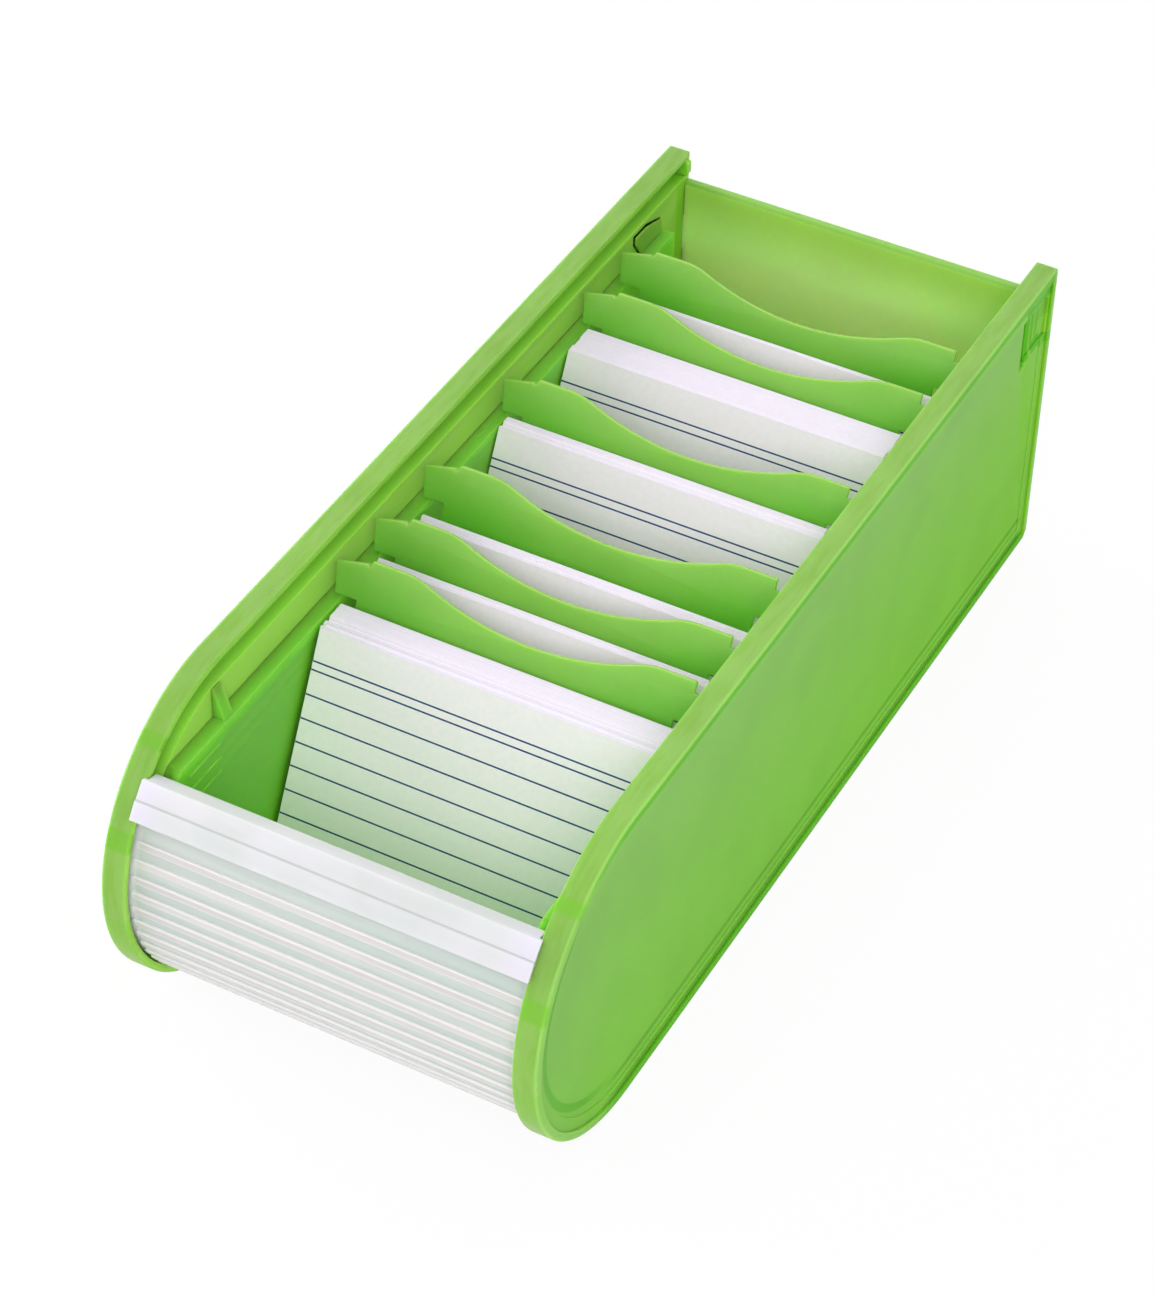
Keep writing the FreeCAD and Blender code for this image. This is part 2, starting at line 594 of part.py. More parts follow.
def shutter_slat(name, number):
    """One slat of the stretch that is straight when open and round when closed."""
    start = slat_start(number)
    crown = start + CROWN_INSET
    web = add_box(name + "_web", (-TONGUE, start, SLAT_LOW), (TONGUE, start + SLAT_WIDTH, SLAT_TOP))
    rib = add_box(name + "_rib", (-CROWN, crown, ARC_RADIUS - RIB_OUTER),
                  (CROWN, crown + S["slat_crown"], SLAT_TOP))
    return join(name, [web, rib])


def shutter_curtain_floor():
    """The ribbed sheet that lies straight under the card tray while the box is open."""
    name = "shutter_curtain_floor"
    body = doc.addObject("PartDesign::Body", name)
    start = slat_start(BEND_SLATS)
    end = REAR - S["floor_tail"]
    place(body, ZERO, start, SLAT_LOW)
    web = body.newObject("PartDesign::AdditiveBox", "floor_web")
    bind(web, Length=TONGUE * 2, Width=end - start, Height=S["web_wall"])
    web.setExpression("Placement.Base.x", (-TONGUE).text)
    rib = body.newObject("PartDesign::AdditiveBox", "floor_rib")
    bind(rib, Length=CROWN * 2, Width=S["slat_crown"], Height=S["slat_rise"] + S["web_wall"] / 2)
    for letter, size in (("x", -CROWN), ("y", CROWN_INSET), ("z", -S["slat_rise"])):
        rib.setExpression(f"Placement.Base.{letter}", size.text)
    count = int((end.value - start.value) / S["slat_pitch"].value)
    pattern = body.newObject("PartDesign::LinearPattern", "floor_ribs")
    pattern.Originals = [rib]
    pattern.Direction = (origin_feature(body, "Y_Axis"), [""])
    pattern.setExpression("Length", (S["slat_pitch"] * (count - 1)).text)
    pattern.Occurrences = count
    body.Tip = pattern
    return body


def divider_place(number):
    """Where a divider's front face meets its lowest edge."""
    return S["box_length"] * DIVIDER_PLACE_SHARES[number - 1] - REAR


def divider(name, number):
    """A plate with two ears that rest on the ledges and a sagging top edge."""
    body = doc.addObject("PartDesign::Body", name)
    wall = S["divider_wall"]
    place(body, ZERO, divider_place(number), DIVIDER_LOW, LEAN, (-1, 0, 0))
    half = TRAY_HALF - S["divider_side_play"]
    ear = PANEL_INNER - S["ear_play"]
    foot = ear - S["ear_taper"]
    low_ear = EAR_LOW
    high_ear = low_ear + S["ear_rise"]
    top = DIVIDER_HEIGHT
    left = S["crest_inset"] - half
    right = half + S["crest_over"]
    nick = S["ear_notch"]
    inner_ear = high_ear + S["ear_slope"]
    corners = [(-half, ZERO), (half, ZERO), (half, low_ear), (foot, low_ear), (ear, high_ear - nick),
               (right, high_ear), (right, top), (left, top), (left - nick, inner_ear - nick),
               (left - nick * 2, inner_ear), (-ear, high_ear), (-foot, low_ear), (-half, low_ear)]
    plate = body.newObject("PartDesign::Pad", "plate")
    plate.Profile = outline(body, "plate_outline", "XZ_Plane", corners)
    plate.setExpression("Length", wall.text)
    plate.Reversed = True
    depth = S["dip_depth"]
    shoulders = (left + S["shoulder_left"], right - S["shoulder_right"])
    half_dip = (shoulders[1] - shoulders[0]) / 2
    middle = (shoulders[1] + shoulders[0]) / 2
    radius = (half_dip * half_dip + depth * depth) / (depth * 2)
    sketch = body.newObject("Sketcher::SketchObject", "sag_outline")
    sketch.AttachmentSupport = [(origin_feature(body, "XZ_Plane"), "")]
    sketch.MapMode = "FlatFace"
    centre = FreeCAD.Vector(middle.value, (top - depth + radius).value, 0)
    circle = sketch.addGeometry(Part.Circle(centre, FreeCAD.Vector(0, 0, 1), radius.value), False)
    bound = ((Sketcher.Constraint("DistanceX", -1, 1, circle, 3, centre.x), middle),
             (Sketcher.Constraint("DistanceY", -1, 1, circle, 3, centre.y), top - depth + radius),
             (Sketcher.Constraint("Radius", circle, radius.value), radius))
    for constraint, size in bound:
        index = sketch.addConstraint(constraint)
        sketch.setExpression(f"Constraints[{index}]", size.text)
    sag = body.newObject("PartDesign::Pocket", "sag")
    sag.Profile = sketch
    sag.Type = "ThroughAll"
    sag.Midplane = True
    doc.recompute()
    edges = []
    for shoulder in shoulders:
        edges += edges_where(sag.Shape, lambda p: near_to(p.z, top) and near_to(p.x, shoulder))
    soft = body.newObject("PartDesign::Fillet", "shoulders")
    soft.Base = (sag, [f"Edge{n}" for n in edges])
    soft.setExpression("Radius", S["dip_round"].text)
    body.Tip = soft
    return body


def card_stack(name, number, count):
    """Loose cards that lean back in one direction, each a little off its neighbours."""
    cards = []
    step = S["card_pitch"] / LEAN.cos()
    thick = S["card_thickness"]
    rear = divider_place(number) - S[f"stack_{number}_gap"]
    lift = S.get(f"stack_{number}_lift", ZERO)
    low = FLOOR + S["card_gap"] + lift + thick * LEAN.sin()
    for n in range(count):
        phase = (n + number) * SHUFFLE_TURN
        side_share = round(math.sin(phase), 3)
        trim_share = round((1 - math.cos(phase * SHUFFLE_TURN)) / 2, 3)
        card = doc.addObject("Part::Box", f"{name}_card_{n + 1}")
        height = S["card_height"] - S["card_trim"] * trim_share
        bind(card, Length=S["card_width"], Width=thick, Height=height)
        x = S["card_shuffle"] * side_share - S[f"stack_{number}_shift"] - S["card_width"] / 2
        y = rear - step * n - thick * LEAN.cos()
        place(card, x, y, low, LEAN, (-1, 0, 0))
        cards.append(card)
    stack = doc.addObject("Part::Compound", name)
    stack.Links = cards
    return stack


nodes = {
    "left_side_panel": side_panel("left_side_panel", -1),
    "right_side_panel": side_panel("right_side_panel", 1),
    "card_tray": card_tray(),
    "back_panel": back_panel(),
    "left_track_stop": track_stop("left_track_stop", -1),
    "right_track_stop": track_stop("right_track_stop", 1),
    "shutter_handle": shutter_handle(),
    "shutter_curtain_front": shutter_curtain_front(),
    "shutter_curtain_floor": shutter_curtain_floor(),
}
for slat in range(BEND_SLATS):
    label = f"shutter_slat_{slat + 1}"
    nodes[label] = shutter_slat(label, slat)
for place_number, card_count in enumerate(STACK_COUNTS, start=1):
    label = f"divider_{place_number}"
    nodes[label] = divider(label, place_number)
    label = f"card_stack_{place_number}"
    nodes[label] = card_stack(label, place_number, card_count)
doc.recompute()

for thing in doc.Objects:
    if "Invalid" in thing.State or "Error" in thing.State:
        raise RuntimeError(f"{thing.Name} failed: {thing.State} {thing.getStatusString()}")
os.makedirs("parts", exist_ok=True)
for label, thing in nodes.items():
    shape = thing.Shape
    if shape.isNull() or not shape.isValid():
        raise RuntimeError(f"{label} has no valid shape")
    thing.Label = label
    shape.exportStep(f"parts/{label}.step")
    box = shape.BoundBox
    print(f"{label}: {len(shape.Solids)} solids, {shape.Volume:.1f} mm3,"
          f" x {box.XMin:.2f} to {box.XMax:.2f}, y {box.YMin:.2f} to {box.YMax:.2f},"
          f" z {box.ZMin:.2f} to {box.ZMax:.2f}")
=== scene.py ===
# %% [markdown]
# # A small box for index cards, in frosted green plastic
#
# This lesson dresses a box that is already modelled as solids: two round-fronted side panels, a tray
# between them, six leaning dividers, six stacks of ruled cards, and a milky ribbed shutter that rolls in
# grooves of the side panels. The solids keep their shapes. The lesson gives them soft moulded edges, loose
# paper cards and finishes, and then sets up a camera, a pale floor and studio light.

# %% Open the modelled box
import json
import math

import bmesh
import bpy
import numpy as np
from mathutils import Matrix, Vector

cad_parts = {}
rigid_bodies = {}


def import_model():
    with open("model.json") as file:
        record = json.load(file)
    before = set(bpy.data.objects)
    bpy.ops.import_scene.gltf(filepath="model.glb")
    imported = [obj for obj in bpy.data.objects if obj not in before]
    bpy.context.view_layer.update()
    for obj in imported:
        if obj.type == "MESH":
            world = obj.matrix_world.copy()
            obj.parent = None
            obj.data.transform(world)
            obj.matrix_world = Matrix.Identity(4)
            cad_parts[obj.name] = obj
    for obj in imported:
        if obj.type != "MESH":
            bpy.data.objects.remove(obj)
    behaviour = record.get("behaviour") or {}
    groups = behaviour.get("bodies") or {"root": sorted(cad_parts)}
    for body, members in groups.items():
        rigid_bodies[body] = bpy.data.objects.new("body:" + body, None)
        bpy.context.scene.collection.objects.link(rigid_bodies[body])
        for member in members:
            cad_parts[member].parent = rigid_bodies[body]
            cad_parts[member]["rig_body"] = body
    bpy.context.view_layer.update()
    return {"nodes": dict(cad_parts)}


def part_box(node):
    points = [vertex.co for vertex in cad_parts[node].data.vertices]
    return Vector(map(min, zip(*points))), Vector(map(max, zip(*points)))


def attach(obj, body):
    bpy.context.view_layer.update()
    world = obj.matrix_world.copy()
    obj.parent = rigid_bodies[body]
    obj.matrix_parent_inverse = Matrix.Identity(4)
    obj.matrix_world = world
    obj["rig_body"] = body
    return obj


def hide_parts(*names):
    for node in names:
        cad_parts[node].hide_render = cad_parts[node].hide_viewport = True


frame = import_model()
MM = 0.001
nodes = frame["nodes"]

# %% [markdown]
# ## Where things are
#
# Every pattern below is placed from a few lines of the box: the front of the round end, the middle of its
# arc, the rear edge and the distance from rib to rib. They are read from the solids, apart from the angle
# by which the cards and dividers lean back. The size and place of a single mark is written where the mark
# is drawn.

# %% Read the lines that the finishes need
panel_low, panel_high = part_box("left_side_panel")
HEIGHT = panel_high.z - panel_low.z
RADIUS = HEIGHT / 2
RIB_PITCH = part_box("shutter_slat_2")[0].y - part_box("shutter_slat_1")[0].y
ARC_Y = panel_low.y + RADIUS
REAR = panel_high.y
PANEL_INNER = -panel_high.x
LEAN = math.radians(26.1)
print(f"height {HEIGHT / MM:.2f}, arc middle y {ARC_Y / MM:.2f}, rear {REAR / MM:.2f} mm")
print(f"from rib to rib {RIB_PITCH / MM:.2f} mm")

# %% [markdown]
# ## Camera
#
# The photograph was taken from above the right front corner with a long lens, so that the two sides of the
# box come closer together only slowly. The camera's place comes from lines that are straight on the real
# box. A frame of 1154 by 1300 picture points fixes the focal length.

# %% Place the camera
CAMERA_AT = Vector((264.7, -518.4, 549.4)) * MM
LOOKS_AT = Vector((1.8, -16.95, 46.8)) * MM
ROLL = math.radians(1.3197)
SENSOR = 36.0
FOCAL_POINTS = 3786.0
PICTURE_HIGH = 1300


def aimed(place, target, roll=0.0):
    """A matrix at place whose -Z axis points at target. Its X axis is level before the turn by roll."""
    back = (place - target).normalized()
    right = Vector((0, 0, 1)).cross(back).normalized()
    up = back.cross(right)
    across = right * math.cos(roll) + up * math.sin(roll)
    above = up * math.cos(roll) - right * math.sin(roll)
    turned = Matrix((across, above, back)).transposed().to_4x4()
    return Matrix.Translation(place) @ turned


def put(name, data):
    """A new object that shows some data, in the scene."""
    made = bpy.data.objects.new(name, data)
    bpy.context.scene.collection.objects.link(made)
    return made


lens = bpy.data.cameras.new("camera")
lens.sensor_fit = "VERTICAL"
lens.sensor_height = SENSOR
lens.lens = SENSOR * FOCAL_POINTS / PICTURE_HIGH
lens.clip_start = 0.01
camera = put("camera", lens)
camera.matrix_world = aimed(CAMERA_AT, LOOKS_AT, ROLL)
bpy.context.scene.camera = camera
print("focal length", round(lens.lens, 2), "mm")

# %% [markdown]
# ## Small helpers for node trees
#
# A finish is a tree of nodes. One helper adds a node and fills its inputs, either with a number or with a
# wire from another node. That keeps each finish below to a few readable lines.

# %% Helpers for nodes


def fill(tree, made, name, value):
    """Puts a number on an input, or wires an output of another node to it."""
    if isinstance(value, bpy.types.NodeSocket):
        tree.links.new(value, made.inputs[name])
    else:
        made.inputs[name].default_value = value


def add(tree, kind, settings=(), **inputs):
    """Adds a node. settings are (property, value) pairs.

    An input goes by its name with _ for a space, or by its number after a _.
    """
    made = tree.nodes.new("ShaderNode" + kind)
    for name, value in settings:
        setattr(made, name, value)
    for name, value in inputs.items():
        fill(tree, made, int(name[1:]) if name[1:].isdigit() else name.replace("_", " "), value)
    return made


def maths(tree, operation, *values):
    """A Math node on up to three numbers or wires."""
    made = add(tree, "Math", [("operation", operation)])
    for place, value in enumerate(values):
        fill(tree, made, place, value)
    return made.outputs[0]


def blend_colours(tree, share, first, second):
    """first where share is 0, second where it is 1."""
    made = add(tree, "Mix", [("data_type", "RGBA")], _0=share)
    fill(tree, made, 6, first)
    fill(tree, made, 7, second)
    return made.outputs[2]


def ramp(tree, value, low, high):
    """0 up to low and 1 from high on, smooth in between. low may be the larger."""
    made = add(tree, "MapRange", [("interpolation_type", "SMOOTHSTEP")], Value=value)
    made.inputs["From Min"].default_value = low
    made.inputs["From Max"].default_value = high
    return made.outputs[0]


def band(tree, value, middle, half, soft):
    """1 within half of middle, fading to 0 over soft."""
    off = maths(tree, "ABSOLUTE", maths(tree, "SUBTRACT", value, middle))
    return ramp(tree, off, half + soft, half)


def both(tree, *shares):
    """The product of some shares: 1 only where all of them are 1."""
    product = shares[0]
    for share in shares[1:]:
        product = maths(tree, "MULTIPLY", product, share)
    return product


print("a band is 1 in its middle and fades at both sides")

# %% Helpers for finishes


def linear(red, green, blue):
    """A colour given as 0 to 255, as a picture shows it, in the linear numbers that a shader takes."""
    shown = np.array([red, green, blue]) / 255
    light = np.where(shown <= 0.04045, shown / 12.92, ((shown + 0.055) / 1.055) ** 2.4)
    return (*light.tolist(), 1.0)


def new_finish(name):
    """An empty material, its tree, and its one shader."""
    finish = bpy.data.materials.new(name)
    finish.use_nodes = True
    tree = finish.node_tree
    shader = tree.nodes["Principled BSDF"]
    return finish, tree, shader


def translucent(shader, share, spread, depth):
    """Lets a share of the light in. Each colour spreads by about depth metres times its number in spread."""
    shader.inputs["Subsurface Weight"].default_value = share
    shader.inputs["Subsurface Radius"].default_value = spread
    shader.inputs["Subsurface Scale"].default_value = depth


def streaks(tree, place, stretch, fineness):
    """Noise with a scale of its own along X: long streaks where stretch is below 1."""
    drawn = add(tree, "Mapping", Vector=place)
    drawn.inputs["Scale"].default_value = (stretch, 1.0, 1.0)
    return add(tree, "TexNoise", Vector=drawn.outputs[0], Scale=fineness, Detail=2.0).outputs["Fac"]


print("white in linear numbers:", linear(255, 255, 255))

# %% [markdown]
# ## Distance from the outline
#
# Rims glow because they are thin, and the shutter's ribs stand out from the web between them. Both follow
# from how far a point lies from the axis of the round end. One small group of nodes works that out, and the
# finishes below turn it into colour: a painted glow on the rims, and painted highlights on the ribs.

# %% The reach of a point from the shutter's axis


def reach(tree, place):
    """Distance from the axis of the round end, and behind it from the level of that axis.

    reach = sqrt(max(arc y - y, 0) squared + (z - radius) squared), so it is RADIUS all along the outline.
    Also gives the three coordinates and the two lengths under the root: ahead and above.
    """
    parts = add(tree, "SeparateXYZ", Vector=place).outputs
    ahead = maths(tree, "MAXIMUM", maths(tree, "SUBTRACT", ARC_Y, parts["Y"]), 0.0)
    above = maths(tree, "SUBTRACT", parts["Z"], RADIUS)
    squares = maths(tree, "ADD", maths(tree, "POWER", ahead, 2.0), maths(tree, "POWER", above, 2.0))
    return maths(tree, "SQRT", squares), parts, ahead, above


def angle_of(tree, ahead, above):
    """Degrees about the axis of the round end: 90 on top, 0 at the very front, -90 below."""
    return maths(tree, "MULTIPLY", maths(tree, "ARCTAN2", above, ahead), 180 / math.pi)


def field(tree, parts, y, z, soft=0.3 * MM):
    """1 within a range of y and a range of z, both in metres."""
    return both(tree, band(tree, parts["Y"], sum(y) / 2, (y[1] - y[0]) / 2, soft),
                band(tree, parts["Z"], sum(z) / 2, (z[1] - z[0]) / 2, soft))


print("the outline lies at a reach of", round(RADIUS / MM, 2), "mm")

# %% [markdown]
# ## Frosted green plastic
#
# The panels, tray, back and dividers are moulded from translucent green plastic. Light enters it and
# spreads, so thin rims glow pale green and deep corners turn to a saturated green. Subsurface scattering
# does some of that: its radius is longest in green, so what travels far comes out greener. The finishes
# below paint the rest of that glow and shade into their colours. A fine grain in the normal keeps
# highlights broad and soft, as on a spark-eroded mould.

# %% What all green parts share
GREEN = linear(122, 192, 58)
LIT_PALE_GREEN = linear(146, 190, 96)
DEEP_GREEN = linear(110, 182, 60)
YELLOW_GLOW_GREEN = linear(182, 220, 102)
GREEN_SPREAD = (0.6, 1.0, 0.25)
GRAIN_FINENESS, GRAIN_STRENGTH, GRAIN_DEPTH = 2200.0, 0.15, 0.2 * MM
CLOUD_FINENESS = 55.0


def frosted(name, depth, gloss=0.25):
    """A translucent finish with a fine grain. Light spreads through it by about depth metres."""
    finish, tree, shader = new_finish(name)
    place = add(tree, "TexCoord").outputs["Object"]
    grain = add(tree, "TexNoise", Vector=place, Scale=GRAIN_FINENESS, Detail=2.0).outputs["Fac"]
    bump = add(tree, "Bump", Height=grain, Strength=GRAIN_STRENGTH, Distance=GRAIN_DEPTH)
    tree.links.new(bump.outputs[0], shader.inputs["Normal"])
    shader.inputs["Roughness"].default_value = 0.4
    shader.inputs["Specular IOR Level"].default_value = gloss
    translucent(shader, 1.0, GREEN_SPREAD, depth)
    return finish, tree, place, shader


def cloudy(tree, place, colour, darker):
    """The colour with soft clouds down to darker times as bright, about 15 mm across, as pigment flows."""
    cloud = add(tree, "TexNoise", Vector=place, Scale=CLOUD_FINENESS, Detail=1.0).outputs["Fac"]
    shade = add(tree, "Mix", [("data_type", "RGBA"), ("blend_type", "MULTIPLY")], _0=1.0)
    fill(tree, shade, 6, colour)
    tint = blend_colours(tree, ramp(tree, cloud, 0.35, 0.7), (1, 1, 1, 1), (darker, darker, darker, 1))
    fill(tree, shade, 7, tint)
    return shade.outputs[2]


print("green, pale, deep:", GREEN[:3], LIT_PALE_GREEN[:3], DEEP_GREEN[:3])

# %% [markdown]
# ### Side panels
#
# The side panels are pale along the outline, where light runs in the rim and out again, and keep the body
# green on their broad faces, with a painted glow near the top. The pale outline is painted light as well.
# What lies behind the wall shows through it as painted shade: the shutter's groove as a saturated strip,
# and the tray's clip as a few bars near the upper rear corner. Where something touches the rim from
# inside, such as the ends of the handle's way, the rim shows a soft darker patch of painted shade. The
# inner face is painted lighter, as painted light, and the gap round the clip's window as painted shade.
#
# A point of a panel is found by four numbers: its distance inward from the outline, its distance ahead of
# the rear edge, its depth in the wall from the inner face, and its angle about the round end.

# %% Where a point of a side panel lies
panel_green, tree, place, shader = frosted("panel_green", 2.0 * MM, gloss=0.07)
far, parts, ahead, above = reach(tree, place)
outline = maths(tree, "SUBTRACT", RADIUS, far)
from_rear = maths(tree, "SUBTRACT", REAR, parts["Y"])
inward = maths(tree, "MINIMUM", outline, from_rear)
depth = maths(tree, "SUBTRACT", maths(tree, "ABSOLUTE", parts["X"]), PANEL_INNER)
angle = angle_of(tree, ahead, above)
outside = ramp(tree, depth, 3.2 * MM, 3.4 * MM)
inside = maths(tree, "SUBTRACT", 1.0, outside)
print("inner face of the panels at", round(PANEL_INNER / MM, 2), "mm from the middle")

# %% Outer face: painted glow, painted shade of the groove, and the border's painted glow and shade
BORDER = 1.9 * MM
PAINTED_GLOW_GREEN = linear(128, 194, 72)
# Painted shade: the groove seen through the wall as a saturated strip, also under the box, and a strip along
# the rear edge.
GROOVE_SHADE_GREEN, LOW_GROOVE_SHADE_GREEN = linear(92, 178, 16), linear(98, 170, 36)
REAR_SHADE_GREEN = linear(144, 200, 52)
PALE_GLOW_BORDER_GREEN, STRAIGHT_BORDER_SHADE_GREEN = linear(142, 196, 86), linear(98, 180, 28)
STRIP_INWARD, STRIP_HALF = 3.75 * MM, 0.6 * MM
# The strip drifts inward by so much per degree below the first angle, and by more below the second.
DRIFT_FROM, DRIFT = 32.0, 0.02 * MM
MORE_DRIFT_FROM, MORE_DRIFT = -5.0, 0.035 * MM
LOW_SHADE_STRIPS = ((2.6 * MM, 0.9 * MM), (7.0 * MM, 0.5 * MM))

# Painted glow: the broad outer face is painted lighter near the top and towards the outline.
painted_glow = both(tree, ramp(tree, inward, 26 * MM, 5 * MM), ramp(tree, above, 0.0, 22 * MM), outside)
colour = blend_colours(tree, painted_glow, GREEN, PAINTED_GLOW_GREEN)

# Painted shade of the groove as it shows through the wall.
past = maths(tree, "MAXIMUM", maths(tree, "SUBTRACT", MORE_DRIFT_FROM, angle), 0.0)
drift = maths(tree, "ADD",
              maths(tree, "MULTIPLY", maths(tree, "SUBTRACT", DRIFT_FROM, angle), DRIFT),
              maths(tree, "MULTIPLY", past, MORE_DRIFT))
groove_shade = band(tree, maths(tree, "SUBTRACT", outline, drift), STRIP_INWARD, STRIP_HALF, STRIP_HALF)
groove_shade = both(tree, groove_shade, outside, ramp(tree, angle, 60.0, 44.0), ramp(tree, angle, -88.0, -50.0))
colour = blend_colours(tree, groove_shade, colour, GROOVE_SHADE_GREEN)
low_groove_shade = both(tree, ramp(tree, angle, -70.0, -88.0), outside, ramp(tree, from_rear, 3 * MM, 5 * MM))
for middle, half in LOW_SHADE_STRIPS:
    line = both(tree, low_groove_shade, band(tree, outline, middle, half, 0.4 * MM))
    colour = blend_colours(tree, line, colour, LOW_GROOVE_SHADE_GREEN)
# Painted shade along the rear edge.
rear_shade = both(tree, band(tree, from_rear, 1.6 * MM, 0.7 * MM, 0.6 * MM), outside)
colour = blend_colours(tree, rear_shade, colour, REAR_SHADE_GREEN)

# The raised border is painted pale as painted glow round the arc, and dark on the straight stretches as the
# painted shade of the groove.
border = ramp(tree, inward, BORDER + 0.15 * MM, BORDER - 0.1 * MM)
straight = maths(tree, "MAXIMUM", ramp(tree, angle, 45.0, 86.0), ramp(tree, angle, -60.0, -85.0))
straight = both(tree, straight, ramp(tree, from_rear, 1.2 * MM, 2.2 * MM))
border_glow_and_shade = blend_colours(tree, straight, PALE_GLOW_BORDER_GREEN, STRAIGHT_BORDER_SHADE_GREEN)
colour = blend_colours(tree, both(tree, border, outside), colour, border_glow_and_shade)
print("strips under the box:", len(LOW_SHADE_STRIPS))

# %% Outer face: painted shade where the clip and the end of the groove show through
CLIP_SHADE_GREEN = linear(84, 174, 28)
# Each bar: from and to along the box, from and to upwards (millimetres), and how strongly it shows.
CLIP_SHADE_BARS = [
    ((100.7, 104.1), (57.0, 72.0), 1.0),
    ((105.0, 106.4), (59.8, 68.5), 0.8),
    ((107.4, 108.9), (59.8, 67.0), 0.6),
    ((101.5, 113.0), (68.8, 70.6), 0.9),
    ((108.5, 113.0), (63.6, 67.4), 0.35),
    ((105.6, 110.2), (57.0, 59.6), 0.9),
    ((110.2, 114.4), (56.0, 58.2), 0.6),
]
# Each bar is painted shade of the clip behind the wall.
for y_range, z_range, share in CLIP_SHADE_BARS:
    shade_bar = field(tree, parts, [v * MM for v in y_range], [v * MM for v in z_range])
    colour = blend_colours(tree, both(tree, shade_bar, outside, share), colour, CLIP_SHADE_GREEN)
print("bars:", len(CLIP_SHADE_BARS))

# %% Inner face: painted light on the walls and in the groove, painted shade in the gap round the clip's window
INSIDE_LIT_GREEN, GROOVE_LIT_GREEN = linear(160, 216, 88), linear(142, 214, 56)
GAP_SHADE, GAP_BARE_LIGHT = linear(8, 60, 20), linear(200, 244, 130)
GROOVE_INWARD, GROOVE_HALF = 3.65 * MM, 1.9 * MM
WINDOW_Y, WINDOW_Z = (88.4 * MM, 101.6 * MM), (60.8 * MM, 67.2 * MM)
BARE_Y, BARE_Z = (89.6 * MM, 94.2 * MM), (64.6 * MM, 67.4 * MM)

# Painted light: the inner face and its groove are painted lighter than the body.
colour = blend_colours(tree, inside, colour, INSIDE_LIT_GREEN)
groove = both(tree, band(tree, inward, GROOVE_INWARD, GROOVE_HALF, 0.3 * MM), inside)
colour = blend_colours(tree, groove, colour, GROOVE_LIT_GREEN)
# Painted shade in the gap round the clip's window, and painted light where the gap is bare.
below_face = both(tree, ramp(tree, depth, 0.02 * MM, 0.1 * MM), ramp(tree, depth, 2.3 * MM, 2.2 * MM))
window = both(tree, below_face, field(tree, parts, WINDOW_Y, WINDOW_Z, 0.1 * MM))
bare = field(tree, parts, BARE_Y, BARE_Z, 0.2 * MM)
gap_shade_and_light = blend_colours(tree, bare, GAP_SHADE, GAP_BARE_LIGHT)
colour = blend_colours(tree, window, colour, gap_shade_and_light)
print("window from", WINDOW_Y[0] / MM, "to", WINDOW_Y[1] / MM, "mm along the box")

# %% The rim: a streaked painted glow, a painted highlight on its outer edge, and soft patches of painted shade
RIM_GLOW_STREAK_GREEN, RIM_EDGE_HIGHLIGHT_GREEN = linear(138, 184, 82), linear(152, 200, 106)
PATCH_SHADE_GREEN = linear(126, 190, 60)
# Each patch: its angle about the round end, half its width in degrees, and how strongly it shows.
SHADE_PATCHES = ((55.5, 1.6, 0.75), (24.0, 2.6, 0.7), (-14.0, 8.0, 0.35))

# Painted glow: the rim is painted pale with streaks, and a painted highlight runs along its outer edge.
rim = ramp(tree, inward, 0.5 * MM, 0.1 * MM)
streak = streaks(tree, place, 6.0, 110.0)
rim_glow_colour = blend_colours(tree, ramp(tree, streak, 0.35, 0.7), LIT_PALE_GREEN, RIM_GLOW_STREAK_GREEN)
rim_glow_colour = blend_colours(tree, ramp(tree, depth, 4.3 * MM, 4.8 * MM), rim_glow_colour, RIM_EDGE_HIGHLIGHT_GREEN)
colour = blend_colours(tree, rim, colour, rim_glow_colour)
# Painted shade: soft darker patches on the rim, where parts behind it show through.
for middle, half, share in SHADE_PATCHES:
    shade_patch = both(tree, band(tree, angle, middle, half, 1.6), border, share)
    colour = blend_colours(tree, shade_patch, colour, PATCH_SHADE_GREEN)
tree.links.new(cloudy(tree, place, colour, 0.94), shader.inputs["Base Color"])
print("made", panel_green.name)

# %% [markdown]
# ### Tray and back panel
#
# The tray's walls are painted a brighter green, as painted light that comes through them, and the tops of
# its ledges, which face up to the light, get a painted lit tone. The back panel has three tones: its inner
# face is a painted yellow-green glow that grows brighter downwards, its outer face is plain, and a band
# along its top is pale.

# %% Tray and back panel
TRAY_LIT_GREEN, LIT_LEDGE_GREEN = linear(122, 218, 50), linear(120, 196, 58)
BACK_LOW_LIGHT, BACK_OUTSIDE, BACK_TOP = linear(240, 255, 176), linear(140, 204, 62), linear(142, 190, 84)
BACK_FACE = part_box("back_panel")[0].y

tray_green, tree, place, shader = frosted("tray_green", 8.0 * MM)
level = add(tree, "SeparateXYZ", Vector=place).outputs["Z"]
# Painted light: a brighter green on the walls, and a lit tone on the tops of the ledges.
colour = blend_colours(tree, ramp(tree, level, 60.4 * MM, 60.9 * MM), TRAY_LIT_GREEN, LIT_LEDGE_GREEN)
tree.links.new(cloudy(tree, place, colour, 0.94), shader.inputs["Base Color"])

back_green, tree, place, shader = frosted("back_green", 2.5 * MM)
parts = add(tree, "SeparateXYZ", Vector=place).outputs
level = parts["Z"]
inner = ramp(tree, parts["Y"], BACK_FACE + 0.6 * MM, BACK_FACE + 0.3 * MM)
